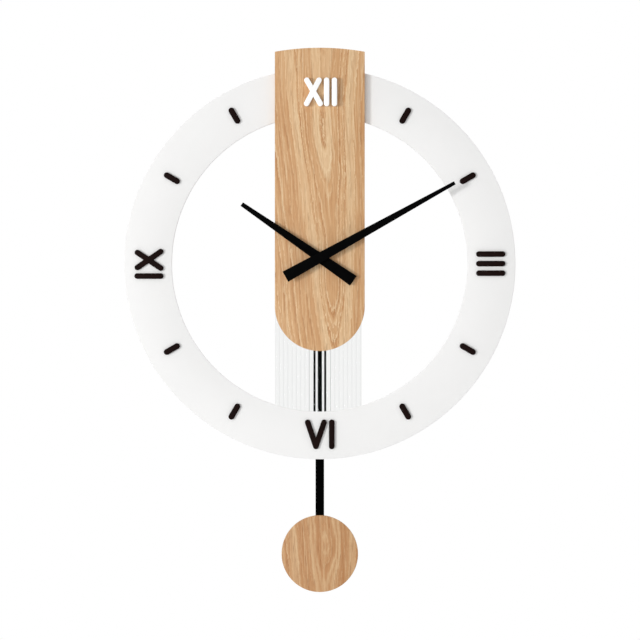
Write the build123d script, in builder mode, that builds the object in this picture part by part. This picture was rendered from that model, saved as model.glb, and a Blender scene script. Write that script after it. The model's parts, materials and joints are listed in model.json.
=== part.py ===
from build123d import *
import math
import os

# A pendulum wall clock: an oak panel and a fluted clear strip carry a white dial ring with raised
# numerals, and a battery movement behind the panel turns two hands and swings a pendulum.
#
# Frame: the origin is the centre of the hanging hole, on the wall. +Z is up, +X is to the viewer's
# right, and the front faces -Y. Every flat piece is drawn on a plane parallel to the wall, so its
# sketch coordinates are (X, Z), and its depth is its distance in front of the wall.

# --- Driving dimensions, in millimetres ----------------------------------------------------------

AXIS_Z = -54.2  # the hands' axis, below the hanging hole
DIAL_Z = -60.0  # centre of the dial ring

# Dial ring and its markers
RING_OUTER_RADIUS = 200.0
RING_INNER_RADIUS = 151.3
RING_THICKNESS = 4.0
MARKER_RADIUS = 174.6  # centre of the hour bars, from the ring's centre
MARKER_THICKNESS = 2.5
BAR_LENGTH = 18.0
BAR_WIDTH = 6.0
STROKE_WIDTH = 5.7
XII_STROKE_WIDTH = 5.4

# Oak panel
PANEL_WIDTH = 91.7
PANEL_TOP = DIAL_Z + 220.2
PANEL_BOTTOM = DIAL_Z - 89.2
PANEL_TOP_RADIUS = 260.6
PANEL_THICKNESS = 7.0
XII_THICKNESS = 6.8

# Fluted strip
STRIP_LEFT = -PANEL_WIDTH / 2
STRIP_RIGHT = 42.9
STRIP_HALF_LENGTH = 190.0
STRIP_THICKNESS = 3.0
FLUTE_PITCH = 4.37
FLUTE_RADIUS = 3.6
FLUTE_COUNT = 20

# Pendulum
PIVOT_Z = AXIS_Z - 36.0
HOOK_Z = AXIS_Z - 86.0
BOB_Z = DIAL_Z - 298.0
BOB_RADIUS = 39.3
BOB_THICKNESS = 8.0
ROD_WIDTH = 8.8
ROD_THICKNESS = 1.5

# Movement case
CASE_HALF_WIDTH = 28.0
CASE_TOP = AXIS_Z + 36.0
CASE_BOTTOM = AXIS_Z - 80.0
CASE_CORNER = 3.0
WALL = 1.5

# Depths in front of the wall
PAD_THICKNESS = 1.0
COVER_BACK = PAD_THICKNESS
CASE_BACK = COVER_BACK + WALL
CASE_FRONT = 24.0
CASE_INNER_FRONT = CASE_FRONT - WALL
BRACKET_THICKNESS = 1.0
BRACKET_FRONT = CASE_FRONT + BRACKET_THICKNESS
STRIP_BACK = BRACKET_FRONT + 0.5
RING_BACK = STRIP_BACK + STRIP_THICKNESS
PANEL_BACK = RING_BACK + RING_THICKNESS
PANEL_FRONT = PANEL_BACK + PANEL_THICKNESS
HOUR_BLADE_BACK = PANEL_FRONT + 4.5
MINUTE_BLADE_BACK = PANEL_FRONT + 9.1
BLADE_THICKNESS = 0.6
ROD_BACK = 7.0
LEVER_BACK = ROD_BACK + ROD_THICKNESS + 0.1

# Shafts and holes
BUSH_RADIUS = 3.5
BUSH_HOLE_RADIUS = 3.6
HOUR_PIPE_RADIUS = 2.45
MINUTE_ARBOR_RADIUS = 1.6
REAR_ARBOR_RADIUS = 0.75
TRAIN_ARBOR_RADIUS = 0.45
KNOB_SHAFT_RADIUS = 1.0
RUNNING_GAP = 0.05
HANGING_HOLE_RADIUS = 4.5

# Gear train: teeth and modules of each meshing pair
MOTION_MODULE = 0.5
CANNON_TEETH, MINUTE_WHEEL_TEETH = 10, 30
MINUTE_PINION_TEETH, HOUR_WHEEL_TEETH = 8, 32
CENTRE_MODULE, CENTRE_TEETH, THIRD_PINION_TEETH = 0.27, 60, 8
THIRD_MODULE, THIRD_TEETH, SECOND_PINION_TEETH = 0.22, 64, 8
SECOND_MODULE, SECOND_TEETH, FIFTH_PINION_TEETH = 0.20, 60, 15
FIFTH_MODULE, FIFTH_TEETH, ROTOR_TEETH = 0.18, 60, 8
WHEEL_THICKNESS = 0.9
PINION_THICKNESS = 1.7


# --- Helpers -------------------------------------------------------------------------------------


def wall_plane(depth):
    """Plane parallel to the wall, this far in front of it, drawn in (X, Z) and extruded forwards."""
    return Plane.XZ.offset(depth)


def step_from(start, distance, angle):
    """Point at a distance and an angle (degrees, anticlockwise from +X) from another point."""
    turn = math.radians(angle)
    return (start[0] + distance * math.cos(turn), start[1] + distance * math.sin(turn))


def angle_between(start, end):
    """Direction from one point to another, in degrees."""
    return math.degrees(math.atan2(end[1] - start[1], end[0] - start[0]))


def mesh_phase(axis, phase, teeth, other_axis, other_teeth):
    """Angle of the other gear's first tooth, so that its gaps take this gear's teeth."""
    direction = angle_between(axis, other_axis)
    return direction + 180 + 180 / other_teeth - (phase - direction) * teeth / other_teeth


def draw_gear(teeth, module, phase):
    """Draw a slim-toothed gear in the open sketch, its first tooth at the phase angle."""
    pitch_radius = teeth * module / 2
    root_radius = pitch_radius - 1.2 * module
    half_width = 0.5 * module
    Circle(root_radius)
    with PolarLocations(0, teeth, start_angle=phase):
        Polygon(
            (root_radius - 0.2 * module, -half_width),
            (pitch_radius, -half_width),
            (pitch_radius + 0.5 * module, -0.7 * half_width),
            (pitch_radius + 0.8 * module, -0.4 * half_width),
            (pitch_radius + 0.8 * module, 0.4 * half_width),
            (pitch_radius + 0.5 * module, 0.7 * half_width),
            (pitch_radius, half_width),
            (root_radius - 0.2 * module, half_width),
            align=None,
        )


def draw_stroke(start, end, width=STROKE_WIDTH):
    """Draw a round-ended stroke in the open sketch between the centres of its ends."""
    middle = ((start[0] + end[0]) / 2, (start[1] + end[1]) / 2)
    with Locations(middle):
        SlotCenterToCenter(math.dist(start, end), width, rotation=angle_between(start, end))


def on_dial(x, z):
    """Sketch point at a place measured from the centre of the dial ring."""
    return (x, DIAL_Z + z)


def by_axis(x, z):
    """Sketch point at a place measured from the hands' axis."""
    return (x, AXIS_Z + z)


def train_wheel(axis, module, teeth, phase, back, pinion_module, pinion_teeth, pinion_phase, pinion_back):
    """One wheel of the going train: a toothed wheel and a pinion on a plain arbor."""
    with BuildPart() as wheel:
        with BuildSketch(wall_plane(back)):
            with Locations(axis):
                draw_gear(teeth, module, phase)
        extrude(amount=WHEEL_THICKNESS)
        with BuildSketch(wall_plane(pinion_back)):
            with Locations(axis):
                draw_gear(pinion_teeth, pinion_module, pinion_phase)
        extrude(amount=PINION_THICKNESS)
        with BuildSketch(wall_plane(ARBOR_BACK)):
            with Locations(axis):
                Circle(TRAIN_ARBOR_RADIUS)
        extrude(amount=ARBOR_FRONT - ARBOR_BACK)
    return wheel


def screws(places, head_back, head_radius, head_thickness, shank_radius, length):
    """Pan-head screws with crossed recesses, their heads facing the wall."""
    recess = 0.6 * head_thickness
    with BuildPart() as group:
        with BuildSketch(wall_plane(head_back)):
            with Locations(*places):
                Circle(head_radius)
        extrude(amount=head_thickness)
        with BuildSketch(wall_plane(head_back + head_thickness)):
            with Locations(*places):
                Circle(shank_radius)
        extrude(amount=length)
        with BuildSketch(wall_plane(head_back)):
            with Locations(*places):
                Rectangle(1.3 * head_radius, 0.25 * head_radius)
                Rectangle(0.25 * head_radius, 1.3 * head_radius)
        extrude(amount=recess, mode=Mode.SUBTRACT)
    return group


# --- Places worked out from the driving dimensions -----------------------------------------------

HAND_AXIS = (0, AXIS_Z)
KNOB_AXIS = step_from(HAND_AXIS, (CANNON_TEETH + MINUTE_WHEEL_TEETH) * MOTION_MODULE / 2, 30)
THIRD_AXIS = step_from(HAND_AXIS, (CENTRE_TEETH + THIRD_PINION_TEETH) * CENTRE_MODULE / 2, 150)
SECOND_AXIS = step_from(THIRD_AXIS, (THIRD_TEETH + SECOND_PINION_TEETH) * THIRD_MODULE / 2, 230)
FIFTH_AXIS = step_from(SECOND_AXIS, (SECOND_TEETH + FIFTH_PINION_TEETH) * SECOND_MODULE / 2, 290)
ROTOR_AXIS = step_from(FIFTH_AXIS, (FIFTH_TEETH + ROTOR_TEETH) * FIFTH_MODULE / 2, 285)
TRAIN_AXES = (THIRD_AXIS, SECOND_AXIS, FIFTH_AXIS, ROTOR_AXIS)

CASE_WIDTH = 2 * CASE_HALF_WIDTH
CASE_HEIGHT = CASE_TOP - CASE_BOTTOM
CASE_CENTRE = (0, (CASE_TOP + CASE_BOTTOM) / 2)
BATTERY_Z = AXIS_Z + 27.1
BATTERY_DEPTH = 9.7
BATTERY_RADIUS = 7.1
BAY_FLOOR = 17.0
PLATE_BACK = 14.6
PLATE_FRONT = 16.0
ARBOR_BACK = 3.7
ARBOR_FRONT = PLATE_FRONT - 0.4
BOSS_FRONT = 4.5
KNOB_WELL_RADIUS = 7.0
KNOB_WELL_FLOOR = 4.5
MAGNET_Z = AXIS_Z - 60.0
SCREW_PLACES = [by_axis(side * 24.4, z) for side in (-1, 1) for z in (-76.2, -31.0, 16.2)]
PLATE_POSTS = [by_axis(side * x, z) for side in (-1, 1) for x, z in ((22.0, -22.0), (20.5, 11.5))]
BOARD_POSTS = [by_axis(side * 16, -60) for side in (-1, 1)]
PAD_PLACES = [by_axis(side * 22.5, z) for side in (-1, 1) for z in (-64.0, 4.0)]
PANEL_SCREW_PLACES = [on_dial(side * x, z) for side in (-1, 1) for x, z in ((25, 175), (22, 80), (20, -50))]
RING_SCREW_PLACES = [on_dial(side * 25, -172) for side in (-1, 1)]

os.makedirs("parts", exist_ok=True)

# --- Dial ring, strip and panel ------------------------------------------------------------------

with BuildPart() as dial_ring:
    with BuildSketch(wall_plane(RING_BACK)):
        with Locations((0, DIAL_Z)):
            Circle(RING_OUTER_RADIUS)
            Circle(RING_INNER_RADIUS, mode=Mode.SUBTRACT)
    extrude(amount=RING_THICKNESS)
    ring_rims = dial_ring.edges().filter_by(GeomType.CIRCLE).group_by(Axis.Y)[0]
    fillet(ring_rims, radius=0.5)
    with BuildSketch(wall_plane(RING_BACK)):
        with Locations(*[place for place in PANEL_SCREW_PLACES if place[1] > DIAL_Z + RING_INNER_RADIUS]):
            Circle(1.6)
    extrude(amount=RING_THICKNESS, mode=Mode.SUBTRACT)
    with BuildSketch(wall_plane(RING_BACK)):
        with Locations(*RING_SCREW_PLACES):
            Circle(1.5)
    extrude(amount=3.0, mode=Mode.SUBTRACT)
dial_ring.part.label = "dial_ring"
export_step(dial_ring.part, "parts/dial_ring.step")

# The strip's front is a row of round flutes, then a plain right border.
crest_depth = STRIP_BACK + STRIP_THICKNESS
valley_depth = crest_depth - FLUTE_RADIUS + math.sqrt(FLUTE_RADIUS**2 - FLUTE_PITCH**2 / 4)
with BuildPart() as fluted_strip:
    with BuildSketch(Plane.XY.offset(DIAL_Z - STRIP_HALF_LENGTH)):
        with BuildLine():
            for flute in range(FLUTE_COUNT):
                left = STRIP_LEFT + flute * FLUTE_PITCH
                right = left + FLUTE_PITCH
                crest = ((left + right) / 2, -crest_depth)
                ThreePointArc((left, -valley_depth), crest, (right, -valley_depth))
            Polyline(
                (STRIP_LEFT + FLUTE_COUNT * FLUTE_PITCH, -valley_depth),
                (STRIP_RIGHT, -valley_depth),
                (STRIP_RIGHT, -STRIP_BACK),
                (STRIP_LEFT, -STRIP_BACK),
                (STRIP_LEFT, -valley_depth),
            )
        make_face()
    extrude(amount=2 * STRIP_HALF_LENGTH)
    with BuildSketch(wall_plane(STRIP_BACK)):
        with Locations(*PANEL_SCREW_PLACES, *RING_SCREW_PLACES):
            Circle(1.7)
        with Locations(HAND_AXIS):
            Circle(BUSH_HOLE_RADIUS)
    extrude(amount=STRIP_THICKNESS, mode=Mode.SUBTRACT)
fluted_strip.part.label = "fluted_strip"
export_step(fluted_strip.part, "parts/fluted_strip.step")

with BuildPart() as centre_spacer:
    with BuildSketch(wall_plane(RING_BACK)):
        with Locations(on_dial(0, 15)):
            RectangleRounded(60, 150, 6)
        with Locations(HAND_AXIS):
            Circle(BUSH_HOLE_RADIUS, mode=Mode.SUBTRACT)
        with Locations(*[place for place in PANEL_SCREW_PLACES if place[1] < DIAL_Z + RING_INNER_RADIUS]):
            Circle(1.6, mode=Mode.SUBTRACT)
    extrude(amount=RING_THICKNESS)
centre_spacer.part.label = "centre_spacer"
export_step(centre_spacer.part, "parts/centre_spacer.step")

half_width = PANEL_WIDTH / 2
shoulder_z = PANEL_TOP - PANEL_TOP_RADIUS + math.sqrt(PANEL_TOP_RADIUS**2 - half_width**2)
with BuildPart() as oak_panel:
    with BuildSketch(wall_plane(PANEL_BACK)):
        with BuildLine():
            Line((-half_width, PANEL_BOTTOM + half_width), (-half_width, shoulder_z))
            ThreePointArc((-half_width, shoulder_z), (0, PANEL_TOP), (half_width, shoulder_z))
            Line((half_width, shoulder_z), (half_width, PANEL_BOTTOM + half_width))
            ThreePointArc(
                (half_width, PANEL_BOTTOM + half_width),
                (0, PANEL_BOTTOM),
                (-half_width, PANEL_BOTTOM + half_width),
            )
        make_face()
    extrude(amount=PANEL_THICKNESS)
    panel_rim = oak_panel.edges().group_by(Axis.Y)[0]
    chamfer(panel_rim, length=0.3)
    with BuildSketch(wall_plane(PANEL_BACK)):
        with Locations(HAND_AXIS):
            Circle(BUSH_HOLE_RADIUS)
    extrude(amount=PANEL_THICKNESS, mode=Mode.SUBTRACT)
    with BuildSketch(wall_plane(PANEL_BACK + 3.5)):
        with Locations(HAND_AXIS):
            Circle(5.1)
    extrude(amount=PANEL_THICKNESS, mode=Mode.SUBTRACT)
    with BuildSketch(wall_plane(PANEL_BACK)):
        with Locations(*PANEL_SCREW_PLACES):
            Circle(1.5)
    extrude(amount=5.0, mode=Mode.SUBTRACT)
oak_panel.part.label = "oak_panel"
export_step(oak_panel.part, "parts/oak_panel.step")

# --- Numerals and hour bars ----------------------------------------------------------------------

with BuildPart() as numeral_xii:
    with BuildSketch(wall_plane(PANEL_FRONT)):
        draw_stroke(on_dial(-13.2, 186.6), on_dial(0.5, 162.8), XII_STROKE_WIDTH)
        draw_stroke(on_dial(-0.8, 186.6), on_dial(-13.5, 162.8), XII_STROKE_WIDTH)
        for x in (6.95, 14.9):
            draw_stroke(on_dial(x, 186.6), on_dial(x, 162.8), XII_STROKE_WIDTH)
    extrude(amount=XII_THICKNESS)
numeral_xii.part.label = "numeral_xii"
export_step(numeral_xii.part, "parts/numeral_xii.step")

with BuildPart() as numeral_iii:
    with BuildSketch(wall_plane(PANEL_BACK)):
        for z in (-9.77, 0, 9.77):
            draw_stroke(on_dial(162.6, z), on_dial(186.8, z))
    extrude(amount=MARKER_THICKNESS)
numeral_iii.part.label = "numeral_iii"
export_step(numeral_iii.part, "parts/numeral_iii.step")

with BuildPart() as numeral_vi:
    with BuildSketch(wall_plane(PANEL_BACK)):
        draw_stroke(on_dial(-12.4, -162.2), on_dial(-4.0, -186.8))
        draw_stroke(on_dial(4.3, -162.2), on_dial(-4.0, -186.8))
        draw_stroke(on_dial(12.2, -162.2), on_dial(12.2, -186.8))
    extrude(amount=MARKER_THICKNESS)
numeral_vi.part.label = "numeral_vi"
export_step(numeral_vi.part, "parts/numeral_vi.step")

with BuildPart() as numeral_ix:
    with BuildSketch(wall_plane(PANEL_BACK)):
        draw_stroke(on_dial(-186.4, 11.3), on_dial(-162.6, -4.6))
        draw_stroke(on_dial(-186.4, -3.9), on_dial(-162.6, 12.3))
        draw_stroke(on_dial(-186.6, -12.7), on_dial(-162.6, -12.7))
    extrude(amount=MARKER_THICKNESS)
numeral_ix.part.label = "numeral_ix"
export_step(numeral_ix.part, "parts/numeral_ix.step")

with BuildPart() as hour_bars:
    with BuildSketch(wall_plane(PANEL_BACK)):
        for hour in (1, 2, 4, 5, 7, 8, 10, 11):
            direction = 90 - 30 * hour
            reach = (BAR_LENGTH - BAR_WIDTH) / 2
            draw_stroke(
                step_from((0, DIAL_Z), MARKER_RADIUS - reach, direction),
                step_from((0, DIAL_Z), MARKER_RADIUS + reach, direction),
                BAR_WIDTH,
            )
    extrude(amount=MARKER_THICKNESS)
hour_bars.part.label = "hour_bars"
export_step(hour_bars.part, "parts/hour_bars.step")

# --- Hands, shown at ten past ten ----------------------------------------------------------------


def draw_blade(clock_angle, tail_length, tail_width, tip_length, tip_width):
    """Draw a tapered blade in the open sketch, turned clockwise from twelve o'clock."""
    with Locations(Location((0, AXIS_Z, 0), (0, 0, -clock_angle))):
        Polygon(
            (-tail_width / 2, -tail_length),
            (tail_width / 2, -tail_length),
            (tip_width / 2, tip_length),
            (-tip_width / 2, tip_length),
            align=None,
        )


with BuildPart() as minute_hand:
    with BuildSketch(wall_plane(MINUTE_BLADE_BACK)):
        draw_blade(61, 40, 11.9, 157, 3.6)
    extrude(amount=BLADE_THICKNESS)
minute_hand.part.label = "minute_hand"
export_step(minute_hand.part, "parts/minute_hand.step")

with BuildPart() as hour_hand:
    with BuildSketch(wall_plane(HOUR_BLADE_BACK)):
        draw_blade(304.5, 41.5, 12, 96.5, 4.4)
        with Locations(HAND_AXIS):
            Circle(HOUR_PIPE_RADIUS, mode=Mode.SUBTRACT)
    extrude(amount=BLADE_THICKNESS)
hour_hand.part.label = "hour_hand"
export_step(hour_hand.part, "parts/hour_hand.step")

MINUTE_HUB_BACK = HOUR_BLADE_BACK + BLADE_THICKNESS + 0.6
with BuildPart() as minute_hub:
    with BuildSketch(wall_plane(MINUTE_HUB_BACK)):
        with Locations(HAND_AXIS):
            Circle(2.6)
            Circle(MINUTE_ARBOR_RADIUS, mode=Mode.SUBTRACT)
    extrude(amount=MINUTE_BLADE_BACK - MINUTE_HUB_BACK)
minute_hub.part.label = "minute_hub"
export_step(minute_hub.part, "parts/minute_hub.step")

HOUR_HUB_LENGTH = 3.2
with BuildPart() as hour_hub:
    with BuildSketch(wall_plane(HOUR_BLADE_BACK - HOUR_HUB_LENGTH)):
        with Locations(HAND_AXIS):
            Circle(3.3)
            Circle(HOUR_PIPE_RADIUS, mode=Mode.SUBTRACT)
    extrude(amount=HOUR_HUB_LENGTH)
hour_hub.part.label = "hour_hub"
export_step(hour_hub.part, "parts/hour_hub.step")

# --- Motion work, which turns the hour hand and sets both hands ----------------------------------

CANNON_BACK = 17.2
CANNON_THICKNESS = 2.0
with BuildPart() as minute_arbor:
    with BuildSketch(wall_plane(ARBOR_BACK)):
        with Locations(HAND_AXIS):
            Circle(REAR_ARBOR_RADIUS)
    extrude(amount=CANNON_BACK - ARBOR_BACK)
    with BuildSketch(wall_plane(CANNON_BACK)):
        with Locations(HAND_AXIS):
            draw_gear(CANNON_TEETH, MOTION_MODULE, 0)
    extrude(amount=CANNON_THICKNESS)
    with BuildSketch(wall_plane(CANNON_BACK + CANNON_THICKNESS)):
        with Locations(HAND_AXIS):
            Circle(MINUTE_ARBOR_RADIUS)
    extrude(amount=MINUTE_BLADE_BACK - CANNON_BACK - CANNON_THICKNESS)
minute_arbor.part.label = "minute_arbor"
export_step(minute_arbor.part, "parts/minute_arbor.step")

MINUTE_WHEEL_BACK = 17.4
MINUTE_PINION_BACK = 18.8
MINUTE_PINION_FRONT = 21.2
minute_wheel_phase = mesh_phase(HAND_AXIS, 0, CANNON_TEETH, KNOB_AXIS, MINUTE_WHEEL_TEETH)
with BuildPart() as minute_wheel:
    with BuildSketch(wall_plane(MINUTE_WHEEL_BACK)):
        with Locations(KNOB_AXIS):
            draw_gear(MINUTE_WHEEL_TEETH, MOTION_MODULE, minute_wheel_phase)
    extrude(amount=MINUTE_PINION_BACK - MINUTE_WHEEL_BACK)
    with BuildSketch(wall_plane(MINUTE_PINION_BACK)):
        with Locations(KNOB_AXIS):
            draw_gear(MINUTE_PINION_TEETH, MOTION_MODULE, 0)
    extrude(amount=MINUTE_PINION_FRONT - MINUTE_PINION_BACK)
    with BuildSketch(wall_plane(COVER_BACK + 1.0)):
        with Locations(KNOB_AXIS):
            Circle(KNOB_SHAFT_RADIUS)
    extrude(amount=CASE_INNER_FRONT - 0.3 - COVER_BACK - 1.0)
minute_wheel.part.label = "minute_wheel"
export_step(minute_wheel.part, "parts/minute_wheel.step")

HOUR_WHEEL_BACK = 19.6
hour_wheel_phase = mesh_phase(KNOB_AXIS, 0, MINUTE_PINION_TEETH, HAND_AXIS, HOUR_WHEEL_TEETH)
with BuildPart() as hour_wheel:
    with BuildSketch(wall_plane(HOUR_WHEEL_BACK)):
        with Locations(HAND_AXIS):
            draw_gear(HOUR_WHEEL_TEETH, MOTION_MODULE, hour_wheel_phase)
    extrude(amount=1.2)
    with BuildSketch(wall_plane(HOUR_WHEEL_BACK)):
        with Locations(HAND_AXIS):
            Circle(HOUR_PIPE_RADIUS)
    extrude(amount=HOUR_BLADE_BACK + BLADE_THICKNESS - HOUR_WHEEL_BACK)
    with BuildSketch(wall_plane(HOUR_WHEEL_BACK)):
        with Locations(HAND_AXIS):
            Circle(MINUTE_ARBOR_RADIUS + RUNNING_GAP)
    extrude(amount=HOUR_BLADE_BACK + BLADE_THICKNESS - HOUR_WHEEL_BACK, mode=Mode.SUBTRACT)
hour_wheel.part.label = "hour_wheel"
export_step(hour_wheel.part, "parts/hour_wheel.step")

KNOB_BACK = COVER_BACK + 0.3
with BuildPart() as setting_knob:
    with BuildSketch(wall_plane(KNOB_BACK)):
        with Locations(KNOB_AXIS):
            Circle(6.0)
            with PolarLocations(6.0, 24):
                Circle(0.35)
    extrude(amount=KNOB_WELL_FLOOR - 0.3 - KNOB_BACK)
    with BuildSketch(wall_plane(COVER_BACK + 1.0)):
        with Locations(KNOB_AXIS):
            Circle(KNOB_SHAFT_RADIUS)
    extrude(amount=5, mode=Mode.SUBTRACT)
setting_knob.part.label = "setting_knob"
export_step(setting_knob.part, "parts/setting_knob.step")

# --- Going train, from the centre wheel back to the motor's rotor --------------------------------

CENTRE_WHEEL_BACK = 11.9
CENTRE_HUB_LENGTH = 1.7
with BuildPart() as centre_wheel:
    with BuildSketch(wall_plane(CENTRE_WHEEL_BACK)):
        with Locations(HAND_AXIS):
            draw_gear(CENTRE_TEETH, CENTRE_MODULE, 0)
    extrude(amount=WHEEL_THICKNESS)
    with BuildSketch(wall_plane(CENTRE_WHEEL_BACK)):
        with Locations(HAND_AXIS):
            Circle(2.0)
    extrude(amount=CENTRE_HUB_LENGTH)
    with BuildSketch(wall_plane(CENTRE_WHEEL_BACK)):
        with Locations(HAND_AXIS):
            Circle(REAR_ARBOR_RADIUS + RUNNING_GAP)
    extrude(amount=CENTRE_HUB_LENGTH, mode=Mode.SUBTRACT)
centre_wheel.part.label = "centre_wheel"
export_step(centre_wheel.part, "parts/centre_wheel.step")

with BuildPart() as clutch_spring:
    with BuildSketch(wall_plane(CENTRE_WHEEL_BACK + CENTRE_HUB_LENGTH + 0.1)):
        with Locations(HAND_AXIS):
            Circle(1.4)
            with PolarLocations(1.6, 3):
                SlotCenterToCenter(2.4, 1.0)
            Circle(REAR_ARBOR_RADIUS, mode=Mode.SUBTRACT)
    extrude(amount=0.3)
clutch_spring.part.label = "clutch_spring"
export_step(clutch_spring.part, "parts/clutch_spring.step")

third_pinion_phase = mesh_phase(HAND_AXIS, 0, CENTRE_TEETH, THIRD_AXIS, THIRD_PINION_TEETH)
third_wheel = train_wheel(
    THIRD_AXIS, THIRD_MODULE, THIRD_TEETH, 0, 9.2,
    CENTRE_MODULE, THIRD_PINION_TEETH, third_pinion_phase, 11.5,
)
third_wheel.part.label = "third_wheel"
export_step(third_wheel.part, "parts/third_wheel.step")

second_pinion_phase = mesh_phase(THIRD_AXIS, 0, THIRD_TEETH, SECOND_AXIS, SECOND_PINION_TEETH)
second_wheel = train_wheel(
    SECOND_AXIS, SECOND_MODULE, SECOND_TEETH, 0, 7.0,
    THIRD_MODULE, SECOND_PINION_TEETH, second_pinion_phase, 8.8,
)
second_wheel.part.label = "second_wheel"
export_step(second_wheel.part, "parts/second_wheel.step")

fifth_pinion_phase = mesh_phase(SECOND_AXIS, 0, SECOND_TEETH, FIFTH_AXIS, FIFTH_PINION_TEETH)
fifth_wheel = train_wheel(
    FIFTH_AXIS, FIFTH_MODULE, FIFTH_TEETH, 0, 5.0,
    SECOND_MODULE, FIFTH_PINION_TEETH, fifth_pinion_phase, 6.6,
)
fifth_wheel.part.label = "fifth_wheel"
export_step(fifth_wheel.part, "parts/fifth_wheel.step")

rotor_phase = mesh_phase(FIFTH_AXIS, 0, FIFTH_TEETH, ROTOR_AXIS, ROTOR_TEETH)
with BuildPart() as rotor_pinion:
    with BuildSketch(wall_plane(4.7)):
        with Locations(ROTOR_AXIS):
            draw_gear(ROTOR_TEETH, FIFTH_MODULE, rotor_phase)
    extrude(amount=PINION_THICKNESS)
    with BuildSketch(wall_plane(ARBOR_BACK)):
        with Locations(ROTOR_AXIS):
            Circle(TRAIN_ARBOR_RADIUS)
    extrude(amount=ARBOR_FRONT - ARBOR_BACK)
rotor_pinion.part.label = "rotor_pinion"
export_step(rotor_pinion.part, "parts/rotor_pinion.step")

with BuildPart() as rotor_magnet:
    with BuildSketch(wall_plane(8.6)):
        with Locations(ROTOR_AXIS):
            Circle(2.9)
            Circle(TRAIN_ARBOR_RADIUS, mode=Mode.SUBTRACT)
    extrude(amount=4.0)
rotor_magnet.part.label = "rotor_magnet"
export_step(rotor_magnet.part, "parts/rotor_magnet.step")

# --- Stepping motor, board and battery -----------------------------------------------------------

STATOR_BACK = 10.2
STATOR_THICKNESS = 0.8
COIL_Z = AXIS_Z - 22.4
COIL_RADIUS = 3.1
CORE_BACK = STATOR_BACK - STATOR_THICKNESS
COIL_DEPTH = CORE_BACK + STATOR_THICKNESS / 2
with BuildPart() as stator:
    with BuildSketch(wall_plane(STATOR_BACK)):
        with Locations((0, ROTOR_AXIS[1])):
            Rectangle(32, 8.4)
        with Locations((-14.3, COIL_Z + 2.0), (14.3, COIL_Z + 2.0)):
            Rectangle(3.4, 6.4)
        with Locations(ROTOR_AXIS):
            Circle(3.4, mode=Mode.SUBTRACT)
    extrude(amount=STATOR_THICKNESS)
stator.part.label = "stator"
export_step(stator.part, "parts/stator.step")

with BuildPart() as coil_core:
    with BuildSketch(wall_plane(CORE_BACK)):
        with Locations((0, COIL_Z)):
            Rectangle(32, 2)
    extrude(amount=STATOR_THICKNESS)
coil_core.part.label = "coil_core"
export_step(coil_core.part, "parts/coil_core.step")

with BuildPart() as coil_bobbin:
    with BuildSketch(Plane.YZ.offset(-11)):
        with Locations((-COIL_DEPTH, COIL_Z)):
            Circle(1.8)
    extrude(amount=22)
    for end in (-11, 10.2):
        with BuildSketch(Plane.YZ.offset(end)):
            with Locations((-COIL_DEPTH, COIL_Z)):
                RectangleRounded(7.0, 7.0, 1)
        extrude(amount=0.8)
    with BuildSketch(Plane.YZ.offset(-11)):
        with Locations((-COIL_DEPTH, COIL_Z)):
            Rectangle(STATOR_THICKNESS, 2)
    extrude(amount=22, mode=Mode.SUBTRACT)
coil_bobbin.part.label = "coil_bobbin"
export_step(coil_bobbin.part, "parts/coil_bobbin.step")

with BuildPart() as coil_winding:
    with BuildSketch(Plane.YZ.offset(-10.2)):
        with Locations((-COIL_DEPTH, COIL_Z)):
            Circle(COIL_RADIUS)
            Circle(1.8, mode=Mode.SUBTRACT)
    extrude(amount=20.4)
coil_winding.part.label = "coil_winding"
export_step(coil_winding.part, "parts/coil_winding.step")

BOARD_BACK = 5.5
BOARD_THICKNESS = 1.0
BOARD_SUPPORTS = [by_axis(19.5, -23.5), by_axis(24, 9)]
with BuildPart() as circuit_board:
    with BuildSketch(wall_plane(BOARD_BACK)):
        with Locations(by_axis(21.75, -7.25)):
            Rectangle(8.5, 37.5)
    extrude(amount=BOARD_THICKNESS)
circuit_board.part.label = "circuit_board"
export_step(circuit_board.part, "parts/circuit_board.step")

with BuildPart() as quartz_crystal:
    with BuildSketch(Plane.XY.offset(AXIS_Z - 4)):
        with Locations((21, -BOARD_BACK - BOARD_THICKNESS - 1)):
            Circle(1.0)
    extrude(amount=6.2)
quartz_crystal.part.label = "quartz_crystal"
export_step(quartz_crystal.part, "parts/quartz_crystal.step")

with BuildPart() as driver_chip:
    with BuildSketch(wall_plane(BOARD_BACK + BOARD_THICKNESS)):
        with Locations(by_axis(21.5, -13)):
            RectangleRounded(5, 5, 1)
    extrude(amount=1.2)
driver_chip.part.label = "driver_chip"
export_step(driver_chip.part, "parts/driver_chip.step")

BATTERY_LEFT = -24.5
BATTERY_SHOULDER = 24.2
NUB_LENGTH = 1.4
with BuildPart() as battery:
    with BuildSketch(Plane.YZ.offset(BATTERY_LEFT)):
        with Locations((-BATTERY_DEPTH, BATTERY_Z)):
            Circle(BATTERY_RADIUS)
    extrude(amount=BATTERY_SHOULDER - BATTERY_LEFT)
    fillet(battery.edges().filter_by(GeomType.CIRCLE), radius=0.6)
    with BuildSketch(Plane.YZ.offset(BATTERY_SHOULDER)):
        with Locations((-BATTERY_DEPTH, BATTERY_Z)):
            Circle(2.7)
    extrude(amount=NUB_LENGTH)
battery.part.label = "battery"
export_step(battery.part, "parts/battery.step")

CONTACT_BACK = 4.0
CONTACT_DEPTH = 10.0
CONTACT_X = BATTERY_SHOULDER + NUB_LENGTH + 0.25
with BuildPart() as positive_contact:
    with BuildSketch(wall_plane(CONTACT_BACK)):
        with Locations((CONTACT_X, BATTERY_Z)):
            Rectangle(0.5, 10)
    extrude(amount=CONTACT_DEPTH)
positive_contact.part.label = "positive_contact"
export_step(positive_contact.part, "parts/positive_contact.step")

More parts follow.
